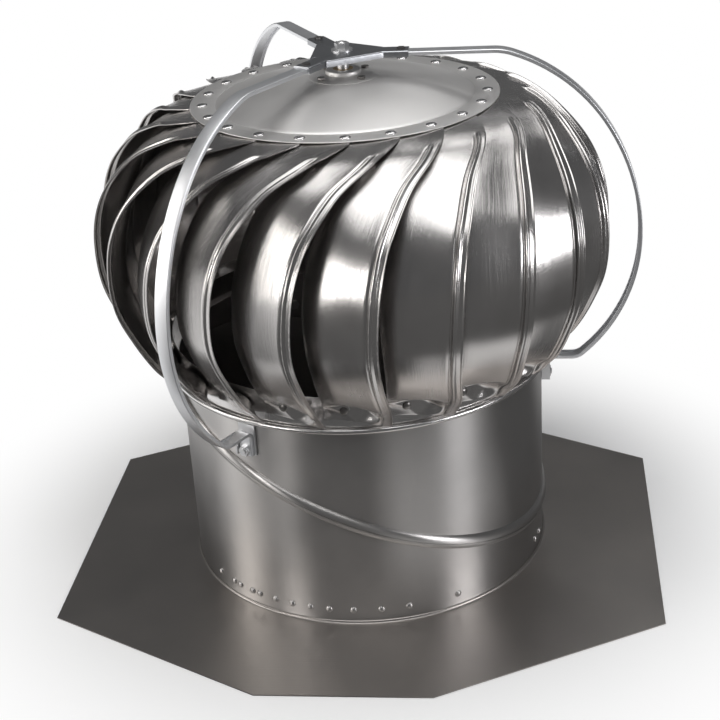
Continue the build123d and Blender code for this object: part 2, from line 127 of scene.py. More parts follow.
class Skin:
    """Collects grids of points into one mesh with a UV map in metres."""

    def __init__(self):
        self.points, self.faces, self.uvs, self.count = [], [], [], 0

    def add(self, grid, uv=None, capped=False):
        """A grid of points, rows by columns, joined into quads. Its columns wrap round. Its
        rows do too, or else its first and its last row are capped."""
        rows, columns = grid.shape[:2]
        if uv is None:
            uv = np.zeros((rows, columns, 2))
            du = np.linalg.norm(np.diff(grid, axis=0), axis=-1).mean(axis=1)
            dv = np.linalg.norm(np.diff(grid, axis=1), axis=-1).mean(axis=0)
            uv[..., 0] = np.concatenate([[0.0], np.cumsum(dv)])[None, :]
            uv[..., 1] = np.concatenate([[0.0], np.cumsum(du)])[:, None]
        r = np.arange(rows - 1 if capped else rows)[:, None]
        c = np.arange(columns)[None, :]
        r2, c2 = (r + 1) % rows, (c + 1) % columns
        quads = np.stack(np.broadcast_arrays(
            r * columns + c, r * columns + c2, r2 * columns + c2, r2 * columns + c), axis=-1).reshape(-1, 4)
        self.faces += (quads + self.count).tolist()
        self.uvs.append(uv.reshape(-1, 2)[quads.ravel()])
        if capped:
            for ends in (np.arange(columns)[::-1], (rows - 1) * columns + np.arange(columns)):
                self.faces.append((ends + self.count).tolist())
                self.uvs.append(uv.reshape(-1, 2)[ends])
        self.points.append(grid.reshape(-1, 3))
        self.count += rows * columns

    def piece(self, name, body, material, replaced, sharp=35.0):
        """Makes the object: smooth faces with edges kept sharp above an angle."""
        mesh = bpy.data.meshes.new(name)
        mesh.from_pydata(np.concatenate(self.points).tolist(), [], self.faces)
        layer = mesh.uv_layers.new(name="Sheet")
        layer.data.foreach_set("uv", np.concatenate(self.uvs).astype(np.float32).ravel())
        mesh.polygons.foreach_set("use_smooth", np.ones(len(mesh.polygons), bool))
        mesh.update()
        mesh.set_sharp_from_angle(angle=math.radians(sharp))
        mesh.materials.append(material)
        made = bpy.data.objects.new(name, mesh)
        bpy.context.scene.collection.objects.link(made)
        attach(made, body)
        if replaced:
            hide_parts(*replaced)


def revolved(profile, segments):
    """A closed profile of (radius, height) turned round the axis: one row for each profile
    point, one column for each azimuth."""
    radius, height = np.asarray(profile, float).T
    azimuth = np.arange(segments) * 360.0 / segments
    return polar(radius[:, None], azimuth[None, :], height[:, None])


def arc_points(centre, radius, first, last, count):
    """Points of a flat arc, from one angle to another in degrees."""
    a = np.radians(np.linspace(first, last, count))
    return np.stack([centre[0] + radius * np.cos(a), centre[1] + radius * np.sin(a)], axis=-1)


# ---- shader maths
class Signal:
    """A number that changes over a surface. Its operators add Math nodes."""

    def __init__(self, tree, socket):
        self.tree, self.socket = tree, socket

    def _math(self, operation, first, second):
        node = self.tree.nodes.new("ShaderNodeMath")
        node.operation = operation
        for slot, value in zip(node.inputs, (first, second)):
            if isinstance(value, Signal):
                self.tree.links.new(value.socket, slot)
            else:
                slot.default_value = value
        return Signal(self.tree, node.outputs[0])

    def __add__(self, other):
        return self._math("ADD", self, other)

    def __radd__(self, other):
        return self._math("ADD", other, self)

    def __mul__(self, other):
        return self._math("MULTIPLY", self, other)

    def __rmul__(self, other):
        return self._math("MULTIPLY", other, self)

    def __pow__(self, other):
        return self._math("POWER", self, other)

    def __rpow__(self, other):
        return self._math("POWER", other, self)


class Nodes:
    """A node tree, with the one method that adds nodes to it."""

    def __init__(self, tree):
        self.tree = tree

    def node(self, kind, settings=None, output=0, at=None, **inputs):
        """Adds a node: its settings first, then the values or links of its sockets, by number
        in `at` or by name. Gives one output, or several where `output` lists them."""
        node = self.tree.nodes.new(kind)
        for key, value in (settings or {}).items():
            if key == "stops":
                self._stops(node.color_ramp, value)
            else:
                setattr(node, key, value)
        for number, value in (at or {}).items():
            self.feed(node.inputs[number], value)
        for key, value in inputs.items():
            self.feed(node.inputs[key.replace("_", " ")], value)
        if isinstance(output, tuple):
            return [Signal(self.tree, node.outputs[number]) for number in output]
        return Signal(self.tree, node.outputs[output])

    @staticmethod
    def _stops(ramp, stops):
        while len(ramp.elements) < len(stops):
            ramp.elements.new(1.0)
        for element, (place, colour) in zip(ramp.elements, stops):
            element.position = place
            element.color = (*colour, 1.0)

    def feed(self, slot, value):
        """Links a signal to a socket, or sets the socket's value."""
        if isinstance(value, Signal):
            self.tree.links.new(value.socket, slot)
        else:
            slot.default_value = value

    def rays(self):
        """Whether a ray comes from the camera, from gloss, or through something clear."""
        return self.node("ShaderNodeLightPath", output=(0, 3, 6))

    def mix(self, factor, first, second, blend="MIX"):
        """Colour between two colours."""
        first, second = (value if isinstance(value, Signal) else (*value, 1.0) for value in (first, second))
        return self.node("ShaderNodeMix", {"data_type": "RGBA", "blend_type": blend}, 2,
                         {0: factor, 6: first, 7: second})

    def blend_shaders(self, factor, first, second, target):
        """Feeds the tree's output with a surface between two surfaces."""
        blend = self.node("ShaderNodeMixShader", at={0: factor, 1: first, 2: second})
        self.feed(self.tree.nodes[target].inputs["Surface"], blend)


class Finish(Nodes):
    """A node material with a Principled surface."""

    def __init__(self, name):
        self.material = bpy.data.materials.new(name)
        self.material.use_nodes = True
        super().__init__(self.material.node_tree)
        self.surface = self.tree.nodes["Principled BSDF"]

    def set(self, **values):
        """Feeds the Principled surface's sockets."""
        for key, value in values.items():
            self.feed(self.surface.inputs[key.replace("_", " ")], value)

    def place(self, source, scale=(1.0, 1.0, 1.0)):
        """Coordinates, stretched by a scale per axis."""
        coordinates = self.node("ShaderNodeTexCoord", output={"Object": 3, "UV": 2}[source])
        return self.node("ShaderNodeMapping", Vector=coordinates, Scale=scale)

    def noise(self, place, scale, detail, roughness=0.5):
        """Cloudy change over a place, of a number of octaves."""
        return self.node("ShaderNodeTexNoise", Vector=place, Scale=scale, Detail=detail, Roughness=roughness)


GRAIN_HEIGHT = 0.6 * MM
GRAIN_TURN = 0.25  # quarter turn, so that a stretched gloss runs up and down
SLOW_SCALE = 7.0
CLOUD_SHARE = 0.55  # how much of the tone follows the clouds, and the rest the slow change


def sheet_metal(name, light, dark, roughness, spread, along="UV", lines=(2400.0, 14.0, 1.0), line_depth=0.16,
                cloud=26.0, stretch=0.0):
    """Rolled sheet: fine draw lines along one way, cloudy handling marks in its roughness
    and a slow change between two tones. The roughness is the given one less its spread,
    plus 1.2 spreads times the clouds and 0.8 times the lines."""
    finish = Finish(name)
    grain = finish.noise(finish.place(along, lines), 1.0, 2.0)
    body = finish.place("Object")
    clouds = finish.noise(body, cloud, 4.0, 0.55)
    slow = finish.noise(body, SLOW_SCALE, 2.0)
    tone = finish.mix(CLOUD_SHARE * clouds + (1 - CLOUD_SHARE) * slow, dark, light)
    finish.set(
        Base_Color=tone,
        Metallic=1.0,
        Roughness=roughness - spread + 1.2 * spread * clouds + 0.8 * spread * grain,
        Normal=finish.node("ShaderNodeBump", Height=grain, Strength=line_depth, Distance=GRAIN_HEIGHT),
        Anisotropic=stretch,
        Anisotropic_Rotation=GRAIN_TURN,
    )
    return finish.material


# Material, lighter and darker tone, roughness and its spread, coordinates, scale and depth of
# the lines, scale of the clouds, and how far the gloss is stretched.
FINISHES = {
    "cap": ("cap_sheet", (0.88, 0.865, 0.85), (0.79, 0.775, 0.76), 0.48, 0.08, "Object",
            (900.0, 14.0, 40.0), 0.10),
    "ring": ("ring_sheet", (0.78, 0.77, 0.76), (0.64, 0.62, 0.61), 0.22, 0.08),
    "throat": ("throat_sheet", (0.62, 0.60, 0.585), (0.42, 0.41, 0.405), 0.34, 0.05, "Object",
               (6.0, 6.0, 900.0), 0.06, 26.0, 0.85),
    "flashing": ("flashing_sheet", (0.52, 0.485, 0.455), (0.34, 0.325, 0.315), 0.36, 0.07, "Object",
                 (9.0, 700.0, 9.0), 0.10, 12.0),
    "strap": ("strap_zinc", (0.93, 0.935, 0.95), (0.80, 0.81, 0.83), 0.40, 0.08, "UV",
              (1500.0, 30.0, 1.0), 0.10),
    "spider": ("spider_zinc", (0.50, 0.51, 0.53), (0.36, 0.37, 0.39), 0.30, 0.08, "Object",
               (300.0,) * 3, 0.10),
    "zinc": ("fastener_zinc", (0.88, 0.88, 0.88), (0.72, 0.72, 0.73), 0.36, 0.08, "Object",
             (600.0,) * 3, 0.12, 90.0),
    "rivet": ("rivet_metal", (0.80, 0.79, 0.79), (0.66, 0.65, 0.65), 0.20, 0.06, "Object",
              (500.0,) * 3, 0.06, 120.0),
    "dark_rivet": ("dark_rivet_metal", (0.34, 0.325, 0.31), (0.22, 0.21, 0.205), 0.32, 0.06, "Object",
                   (500.0,) * 3, 0.06, 120.0),
    "bronze": ("bush_bronze", (0.62, 0.47, 0.27), (0.46, 0.34, 0.19), 0.45, 0.08, "Object",
               (900.0,) * 3, 0.3, 60.0),
}


def finishes(look):
    """Every finish of the object by name."""
    vane = sheet_metal("vane_sheet", look.vane_light, look.vane_dark, look.vane_roughness, 0.10)
    return {"vane": vane, **{name: sheet_metal(*values) for name, values in FINISHES.items()}}


MADE = {}


def finish_named(name):
    """One of the object's finishes, made on first use."""
    if not MADE:
        MADE.update(finishes(bpy.context.scene.ventilator_finish))
    return MADE[name]


def closed_sheet(grid, name, body, finish, replaced, sharp=35.0, uv=None, capped=False):
    """Makes a piece of one sheet, from a grid that is closed as Skin.add says."""
    skin = Skin()
    skin.add(grid, uv, capped)
    skin.piece(name, body, finish_named(finish), (replaced,), sharp)


HEAD_SINK = 0.1 * MM
HEAD_RIM = 0.2  # share of a round head's height that its upright rim takes
HEAD_LAST = 88.0  # degrees of climb at which the crown is closed flat


def domed_head(seat, out, radius, height, sides=20, rings=6):
    """A rivet's round head: a quarter ellipse turned round the seat's normal, over an
    upright rim. Rows run from the rim to the crown."""
    out = Vector(out).normalized()
    level = out.orthogonal().normalized()
    turn = out.cross(level)
    a = np.arange(sides) * 2 * math.pi / sides
    climb = np.radians(np.linspace(0.0, HEAD_LAST, rings))
    r = np.concatenate([[radius], radius * np.cos(climb)])
    h = np.concatenate([[-HEAD_SINK], HEAD_RIM * height + (1 - HEAD_RIM) * height * np.sin(climb)])
    ring = np.cos(a)[:, None] * np.array(level) + np.sin(a)[:, None] * np.array(turn)
    return np.array(seat) + r[:, None, None] * ring[None] + h[:, None, None] * np.array(out)


def round_heads(radius, height, azimuths, head, name, body, finish, replaced=(), facing=None):
    """Makes one piece of like round heads at a radius and a height. They face away from the
    axis, or the way that `facing` says."""
    skin = Skin()
    for azimuth in azimuths:
        out = facing or polar(1.0, azimuth, 0.0)
        skin.add(domed_head(polar(radius, azimuth, height), out, *head), capped=True)
    skin.piece(name, body, finish_named(finish), replaced)


# ---- settings
class VentilatorRotor(bpy.types.PropertyGroup):
    """Sizes of the rotor's sheet."""

    rows: IntProperty(name="Rows", description="Rows of faces along a vane", default=150, min=30)
    hem: FloatProperty(
        name="Hem", description="Width of the hem on a vane's outer edge", default=10.0 * MM, unit="LENGTH")
    ridge: FloatProperty(
        name="Ridge", description="Height of the ridge rolled into the hem", default=1.5 * MM, unit="LENGTH")
    segments: IntProperty(name="Segments", description="Faces round the rotor", default=252, min=48)


class VentilatorBase(bpy.types.PropertyGroup):
    """Sizes of the throat and the flashing."""

    segments: IntProperty(name="Segments", description="Faces round the throat", default=256, min=48)
    bead: FloatProperty(
        name="Bead", description="How far the swivel bead stands out", default=3.2 * MM, unit="LENGTH")
    ripple: FloatProperty(
        name="Ripple", description="Depth of the waves in the flashing", default=0.3 * MM, unit="LENGTH")


class VentilatorFrame(bpy.types.PropertyGroup):
    """Sizes of the strap braces and their spider."""

    width: FloatProperty(
        name="Strap width", description="Width across a strap", default=12.0 * MM, unit="LENGTH")
    depth: FloatProperty(
        name="Strap depth", description="Depth of a strap's turned sides", default=3.0 * MM, unit="LENGTH")
    wall: FloatProperty(
        name="Strap wall", description="Gauge of the strap", default=1.1 * MM, unit="LENGTH")


class VentilatorFinish(bpy.types.PropertyGroup):
    """Colours of the sheet metal."""

    vane_light: FloatVectorProperty(
        name="Vane light", description="Lighter tone of the vanes", default=(0.72, 0.705, 0.695),
        subtype="COLOR")
    vane_dark: FloatVectorProperty(
        name="Vane dark", description="Darker tone of the vanes", default=(0.50, 0.475, 0.46),
        subtype="COLOR")
    vane_roughness: FloatProperty(
        name="Vane roughness", description="Roughness of the vanes", default=0.24, min=0.0, max=1.0)


# ---- rotor
# Across a vane, in shares of its width or of its hem's width; heights in shares of the ridge.
VANE_PEAK = 0.30
VANE_RISE_POWER = 2.2
INNER_COLUMNS, FACE_COLUMNS, HEM_COLUMNS = 6, 31, 28
INNER_SHARE = 0.12
MIDDLE_COLUMN = 20
GROOVE_DEPTH, GROOVE_PLACE, GROOVE_WIDTH = 0.75, 0.08, 0.085
ROLL_PLACE, ROLL_HALF = 0.36, 0.21
LIP_HEIGHT, LIP_START, LIP_END = 0.5, 0.84, 0.96
INNER_LIP_HEIGHT, INNER_LIP_WIDTH = 0.45, 1.1 * MM
FORMED_FROM = (2.1, 2.5)  # stations between which the rolled forms begin
FADED_FROM, FADED_SHARE = (11.3, 12.0), 0.6  # and between which they fade, and by how much
BACK_UV_SHIFT = 0.1


def vane_edges(rows):
    """Inner and outer edge of a vane in metres, and the direction down its length."""
    at = np.linspace(0.0, len(VANE_INNER) - 1.0, rows)
    inner, outer = through(VANE_INNER, at), through(VANE_OUTER, at)
    inner = polar(inner[:, 0] * MM, inner[:, 1], inner[:, 2] * MM)
    outer = polar(outer[:, 0] * MM, outer[:, 1], outer[:, 2] * MM)
    down = unit(np.gradient(inner + outer, axis=0))
    return at, inner, outer, down


def vane_face(rows, hem_width, ridge):
    """Front face of the first vane, rows down its length by columns across it.

    Across the width the sheet rises from its inner edge to its crown, by one less the 2.2th
    power of what is left of the way, falls by a smooth step to the hem, dips into a groove
    shaped as a bell curve and stands up in a cosine ridge before its lip."""
    at, inner, outer, down = vane_edges(rows)
    width = np.linalg.norm(outer - inner, axis=-1)[:, None]
    across = unit(outer - inner)
    across_down = down - across * np.sum(down * across, axis=-1, keepdims=True)
    outward = np.cross(unit(across_down), across)
    share = np.concatenate([np.linspace(0.0, INNER_SHARE, INNER_COLUMNS + 1)[:-1],
                            np.linspace(INNER_SHARE, 1.0, FACE_COLUMNS + 1)])
    hem = np.linspace(0.0, 1.0, HEM_COLUMNS + 1)[1:]
    hem_line = width - hem_width
    x = np.concatenate([share[None, :] * hem_line, hem_line + hem[None, :] * hem_width], axis=1)
    crown = through(VANE_CROWN, at)[:, None] * MM
    hem_rise = through(VANE_HEM_RISE, at)[:, None] * MM
    peak = VANE_PEAK * width
    left = crown * (1 - (1 - np.clip(x / peak, 0, 1)) ** VANE_RISE_POWER)
    right = crown + (hem_rise - crown) * step(0.0, 1.0, (x - peak) / (hem_line - peak))
    place = (x - hem_line) / hem_width
    tail = hem_rise * (1 - np.clip(place, 0, 1) ** 2)
    y = np.where(x < peak, left, np.where(x < hem_line, right, tail))
    formed = step(*FORMED_FROM, at)[:, None] * (1 - FADED_SHARE * step(*FADED_FROM, at)[:, None])
    groove = -GROOVE_DEPTH * np.exp(-(((place - GROOVE_PLACE) / GROOVE_WIDTH) ** 2))
    roll = np.cos(0.5 * math.pi * np.clip((place - ROLL_PLACE) / ROLL_HALF, -1, 1))
    lip = LIP_HEIGHT * step(LIP_START, LIP_END, place)
    inner_lip = INNER_LIP_HEIGHT * np.exp(-((x / INNER_LIP_WIDTH) ** 2))
    y = y + formed * ridge * (groove + roll + lip + inner_lip)
    points = inner[:, None] + across[:, None] * x[..., None] + outward[:, None] * y[..., None]
    return points, outward, x


def vane_grid(look):
    """Closed sheet of the first vane: its face, round its outer edge, its back."""
    face, outward, x = vane_face(look.rows, look.hem, look.ridge)
    face = pressed_at_rivet(face)
    normal = unit(np.cross(np.gradient(face, axis=0), np.gradient(face, axis=1)))
    normal *= np.sign(np.sum(normal * outward[:, None], axis=-1, keepdims=True))
    back = face - normal * SHEET
    grid = np.concatenate([face, back[:, ::-1]], axis=1)
    across = np.concatenate([x, x[:, ::-1] + BACK_UV_SHIFT], axis=1)
    down = np.linalg.norm(np.diff(face[:, MIDDLE_COLUMN], axis=0), axis=-1)
    length = np.concatenate([[0.0], np.cumsum(down)])
    uv = np.stack([across, np.broadcast_to(length[:, None], across.shape)], axis=-1)
    return grid, uv


RIVET_BACK = -39.0  # degrees from a vane's cap rivet back to its ring rivet
RING_RIVET_Z = 197.0 * MM
RING_FACE_R = 157.5 * MM
HOLLOW_HALF_TURN = 10.0  # degrees
HOLLOW_HALF_HEIGHT = 13.0 * MM
HOLLOW_TURN_OFF = 1.0
HOLLOW_DROP = 2.0 * MM
HOLLOW_FLOOR = 0.50  # share of the hollow's reach that is fully pressed in
HOLLOW_STAND_OFF = 0.3 * MM


def pressed_at_rivet(points):
    """The sheet drawn in to the ring round its rivet: an oval hollow with a flat middle,
    and a smooth step from there up to its rim."""
    azimuth = np.degrees(np.arctan2(points[..., 1], points[..., 0]))
    radius = np.linalg.norm(points[..., :2], axis=-1)
    sideways = (azimuth - RIVET_BACK - HOLLOW_TURN_OFF) / HOLLOW_HALF_TURN
    height = (points[..., 2] - RING_RIVET_Z + HOLLOW_DROP) / HOLLOW_HALF_HEIGHT
    reach = np.sqrt(sideways**2 + height**2)
    depth = 1 - step(HOLLOW_FLOOR, 1.0, reach)
    aim = RING_FACE_R + SHEET + HOLLOW_STAND_OFF
    new_radius = radius + (np.minimum(aim, radius) - radius) * depth
    scale = (new_radius / radius)[..., None]
    return np.concatenate([points[..., :2] * scale, points[..., 2:]], axis=-1)


class VENTILATOR_OT_vanes(bpy.types.Operator):
    """Makes the scooped vanes as curved sheets with rolled hems"""

    bl_idname = "ventilator.vanes"
    bl_label = "Vanes"

    def execute(self, context):
        grid, uv = vane_grid(context.scene.ventilator_rotor)
        for number in range(VANES):
            node = f"vane_{number + 1:02d}"
            closed_sheet(turned(grid, ROTOR_PHASE + number * VANE_PITCH), f"scooped_{node}", "rotor", "vane",
                         node, 60.0, uv + number, capped=True)
        return {"FINISHED"}


CAP_R = 121.75 * MM
RIM_Z = 394.7 * MM
RIM_IN_R = 102.0 * MM
CROWN_FLAT_R = 30.0 * MM
CROWN_RISE = 15.8 * MM
CROWN_POWER = 1.75
CREASE_HALF = 0.9 * MM
CREASE_DEPTH = 0.35 * MM
BORE_OF_CAP = 14.02 * MM
CAP_RIVET_R = 112.0 * MM
CAP_HEAD_R = 4.4 * MM
CAP_HEAD_H = 1.7 * MM
DOME_ROWS = 30


def cap_profile():
    """The cap's section: a flat rim, a fine pressed crease, then a shallow dome that falls
    off as the 1.75th power of the way out from its flat middle."""
    dome_r = np.linspace(RIM_IN_R - CREASE_HALF, CROWN_FLAT_R, DOME_ROWS)
    share = (dome_r - CROWN_FLAT_R) / (RIM_IN_R - CROWN_FLAT_R)
    dome_z = RIM_Z + CROWN_RISE * (1 - share**CROWN_POWER)
    edge = arc_points((CAP_R - SHEET / 2, RIM_Z - SHEET / 2), SHEET / 2, -90.0, 90.0, 7)
    crease = [(RIM_IN_R + CREASE_HALF, RIM_Z), (RIM_IN_R, RIM_Z - CREASE_DEPTH)]
    top = np.concatenate([edge, [(CAP_RIVET_R, RIM_Z)], crease, np.stack([dome_r, dome_z], axis=-1),
                          [(BORE_OF_CAP, RIM_Z + CROWN_RISE)]])
    under = top[:6:-1] - np.array([0.0, SHEET])
    return np.concatenate([top, under])


class VENTILATOR_OT_cap(bpy.types.Operator):
    """Makes the domed cap and the round heads of its rivets"""

    bl_idname = "ventilator.cap"
    bl_label = "Cap"

    def execute(self, context):
        grid = revolved(cap_profile(), context.scene.ventilator_rotor.segments)
        closed_sheet(grid, "domed_cap", "rotor", "cap", "top_cap", 30.0)
        azimuths = [ROTOR_PHASE + number * VANE_PITCH for number in range(VANES)]
        round_heads(CAP_RIVET_R, RIM_Z, azimuths, (CAP_HEAD_R, CAP_HEAD_H), "cap_rivet_heads", "rotor",
                    "rivet", ("cap_rivets",), (0, 0, 1))
        return {"FINISHED"}


RING_IN_R, RING_OUT_R = 155.6 * MM, 156.4 * MM
RING_TOP_Z, RING_LOW_Z, RING_ROLL_TOP_Z = 207.0 * MM, 177.2 * MM, 181.9 * MM
RING_ROLL_CENTRE = (158.6 * MM, 179.4 * MM)
RING_ROLL_R = 2.4 * MM
RING_HEAD_R, RING_HEAD_H = 3.3 * MM, 1.6 * MM


class VENTILATOR_OT_ring(bpy.types.Operator):
    """Makes the bottom ring with its rolled edge, and its rivets"""

    bl_idname = "ventilator.ring"
    bl_label = "Ring"

    def execute(self, context):
        profile = np.concatenate([
            [(RING_IN_R, RING_TOP_Z), (RING_OUT_R, RING_TOP_Z), (RING_OUT_R, RING_ROLL_TOP_Z)],
            arc_points(RING_ROLL_CENTRE, RING_ROLL_R, 150.0, -150.0, 17),
            [(RING_OUT_R, RING_LOW_Z), (RING_IN_R, RING_LOW_Z)],
        ])
        grid = revolved(profile[::-1], context.scene.ventilator_rotor.segments)
        closed_sheet(grid, "rolled_ring", "rotor", "ring", "bottom_ring", 40.0)
        azimuths = [ROTOR_PHASE + number * VANE_PITCH + RIVET_BACK for number in range(VANES)]
        head = (RING_HEAD_R, RING_HEAD_H)
        round_heads(RING_FACE_R + SHEET, RING_RIVET_Z, azimuths, head, "ring_rivet_heads", "rotor",
                    "dark_rivet", ("ring_rivets",))
        return {"FINISHED"}


# ---- throat and flashing
def seam_height(radius, azimuth, offset):
    """Height of a point that lies off the tilted seam plane by an offset along its normal."""
    fall = radius * np.cos(azimuth - SEAM_DESCENT) * math.tan(SEAM_TILT)
    return SEAM_Z + offset / math.cos(SEAM_TILT) - fall


THROAT_TOP = 187.0 * MM
BEAD_HALF = 5.4 * MM
BEAD_START, BORE_START = 5.6 * MM, 0.6 * MM  # distances from the seam
BORE_STEP = 0.2 * MM
WALL_ROWS, BEAD_ROWS = 12, 9


def throat_half(side, end, segments, bead):
    """Closed wall of one half of the throat: outer face from its plain end to the bead,
    the half-round bead, then the bore back to the end. Between the level end and the tilted
    seam the rows slide from one to the other."""
    wall_out, wall_in = THROAT_R, THROAT_R - SHEET
    lift = np.linspace(BEAD_HALF, GAP / 2, BEAD_ROWS)
    proud = bead * np.sqrt(1 - ((lift - GAP / 2) / BEAD_HALF) ** 2)
    radius = np.concatenate([np.full(WALL_ROWS, wall_out), wall_out + proud, [wall_in + BORE_STEP],
                             np.full(WALL_ROWS, wall_in)])
    offset = np.concatenate([np.full(WALL_ROWS, BEAD_START), lift, [GAP / 2],
                             np.full(WALL_ROWS, BORE_START)])
    slide = np.linspace(0, 1, WALL_ROWS)
    share = np.concatenate([slide, np.ones(BEAD_ROWS + 1), slide[::-1]])
    azimuth = np.arange(segments) * 2 * math.pi / segments
    at_seam = seam_height(radius[:, None], azimuth[None, :], side * offset[:, None])
    height = end + (at_seam - end) * share[:, None]
    grid = polar(radius[:, None], np.degrees(azimuth)[None, :], height)
    return grid if side < 0 else grid[::-1]


FOOT_BUMP_ROWS = (  # first bearing, number and step of each row; the same rows stand on the far side
    (-140.5, 1, 0.0), (-133.0, 2, 3.0), (-124.5, 2, 3.0), (-115.5, 4, 6.0), (-90.0, 3, 8.5), (-57.0, 1, 0.0),
    (-17.0, 2, 5.0),
)
FOOT_BUMP_Z = 13.2 * MM
FOOT_BUMP_R = 2.8 * MM
FOOT_BUMP_H = 1.8 * MM


class VENTILATOR_OT_throat(bpy.types.Operator):
    """Makes the two halves of the throat with the rolled bead of the swivel seam"""

    bl_idname = "ventilator.throat"
    bl_label = "Throat"

    def execute(self, context):
        look = context.scene.ventilator_base
        for name, body, node, side, end in (
            ("throat_lower_wall", "base", "lower_throat", -1, 0.0),
            ("throat_upper_wall", "head_frame", "upper_throat", 1, THROAT_TOP),
        ):
            wall = throat_half(side, end, look.segments, look.bead)
            closed_sheet(wall[::-1], name, body, "throat", node, 40.0)
        azimuths = [first + side + pitch * place for first, number, pitch in FOOT_BUMP_ROWS
                    for side in (0.0, 180.0) for place in range(number)]
        round_heads(THROAT_R, FOOT_BUMP_Z, azimuths, (FOOT_BUMP_R, FOOT_BUMP_H, 16, 5), "foot_bumps", "base",
                    "throat")
        return {"FINISHED"}


FLASH_HALF_WIDTH, FLASH_FRONT, FLASH_BACK = 248.0 * MM, 246.5 * MM, 214.5 * MM
CORNER_RUN_X, CORNER_RUN_Y = 179.5 * MM, 97.5 * MM
FILLET_FIT, FILLET_BEND, FILLET_TOP = 0.1 * MM, 1.6 * MM, 3.0 * MM
FILLET_ROWS = 7
PLATE_ROWS = 25
FLASH_STEP = 1.5  # degrees
WAVE_RATE, WAVE_BEND, WAVE_TURN = 21.0, 2.0, 0.6


def flashing_corners():
    """The eight corners, round from the left end of the front edge."""
    end, front, back = FLASH_HALF_WIDTH - CORNER_RUN_X, FLASH_FRONT - CORNER_RUN_Y, FLASH_BACK - CORNER_RUN_Y
    right = [(end, -FLASH_FRONT), (FLASH_HALF_WIDTH, -front), (FLASH_HALF_WIDTH, back), (end, FLASH_BACK)]
    left = [(-x, y) for x, y in reversed(right)]
    return np.array(left[-1:] + right + left[:-1])


def flashing_reach(azimuth):
    """Distance from the axis to the flashing's edge: the nearest of the lines through its
    neighbouring corners."""
    corners = flashing_corners()
    following = np.roll(corners, -1, axis=0)
    normal = np.stack([(following - corners)[:, 1], -(following - corners)[:, 0]], axis=-1)
    distance = np.sum(normal * corners, axis=-1)
    facing = np.stack([np.cos(azimuth), np.sin(azimuth)], axis=0)
    towards = normal @ facing
    return np.where(towards > 1e-9, distance[:, None] / np.maximum(towards, 1e-9), np.inf).min(axis=0)


def flashing_grid(ripple):
    """Closed sheet of the flashing, rows outwards and columns round. A fillet turns from
    the collar to the plate. The plate sinks by half the ripple times one less a wave, more
    with the square root of the way out. The wave is a sine of the distance, shifted by the
    cosine of twice the bearing, times the cosine of thrice it, and dies out at both edges."""
    steps = np.radians(np.arange(-180.0, 180.0, FLASH_STEP))
    azimuth = np.unique(np.concatenate([steps, np.arctan2(*flashing_corners().T[::-1])]))
    reach = flashing_reach(azimuth)
    bore, top = THROAT_R + FILLET_FIT, FILLET_TOP
    lip = [(bore, 0.05 * MM), (bore, top - 0.2 * MM), (bore + SHEET / 2, top),
           (bore + SHEET, top - 0.3 * MM)]
    centre = (bore + SHEET + FILLET_BEND, SHEET + FILLET_BEND)
    fillet = np.concatenate([lip, arc_points(centre, FILLET_BEND, 180.0, 270.0, FILLET_ROWS)])
    radius, height = (row[:, None] * np.ones_like(azimuth)[None, :] for row in fillet.T)
    share = np.linspace(0.0, 1.0, PLATE_ROWS + 1)[1:, None]
    out = radius[-1] + (reach - radius[-1]) * share
    along = np.sin(out * WAVE_RATE + WAVE_BEND * np.cos(2 * azimuth))
    wave = along * np.cos(3 * azimuth + WAVE_TURN) * np.sin(math.pi * share)
    plate = SHEET + ripple * 0.5 * (wave - 1.0) * share**0.5
    radius = np.concatenate([radius, out, reach[None, :]])
    height = np.concatenate([height, plate, np.zeros((1, len(azimuth)))])
    return polar(radius, np.degrees(azimuth)[None, :], height)


class VENTILATOR_OT_flashing(bpy.types.Operator):
    """Makes the roof flashing: a gently rippled plate drawn up into a collar"""

    bl_idname = "ventilator.flashing"
    bl_label = "Flashing"

    def execute(self, context):
        grid = flashing_grid(context.scene.ventilator_base.ripple)
        closed_sheet(grid, "flashing_plate", "base", "flashing", "roof_flashing", 30.0)
        return {"FINISHED"}


# ---- braces and spider
def tangent_arc(start, heading, end, count=14):
    """Points of the arc that leaves `start` along `heading` and passes through `end`, and
    its heading there. Its centre lies square to the heading, as far from both points."""
    start, heading, end = (np.asarray(v, float) for v in (start, heading, end))
    normal = np.array([-heading[1], heading[0]])
    chord = end - start
    lean = chord @ normal
    if abs(lean) < 1e-9:
        return np.linspace(start, end, count)[1:], heading
    radius = chord @ chord / (2 * lean)
    centre = start + normal * radius
    first = math.atan2(*(start - centre)[::-1])
    sweep = 2 * math.atan2(lean, chord @ heading)
    angle = first + np.linspace(0, sweep, count)[1:]
    points = centre + abs(radius) * np.stack([np.cos(angle), np.sin(angle)], axis=-1)
    c, s = math.cos(sweep), math.sin(sweep)
    return points, np.array([heading[0] * c - heading[1] * s, heading[0] * s + heading[1] * c])


# Places along a strap's outer line, in mm.
BRACE_TOP_Z, BRACE_TOP_R = 428.78, (41.0, 80.0, 117.0)
BRACE_KNOTS = (
    (132.0, 426.3), (204.0, 371.0), (233.4, 272.0), (214.0, 201.5), (187.0, 168.5), (178.0, 165.0),
)
FOOT_FACE_R, FOOT_BEND, FOOT_Z = 156.94, 3.0, 165.0
FOOT_DROPS = (18.0, 18.0, 11.5)


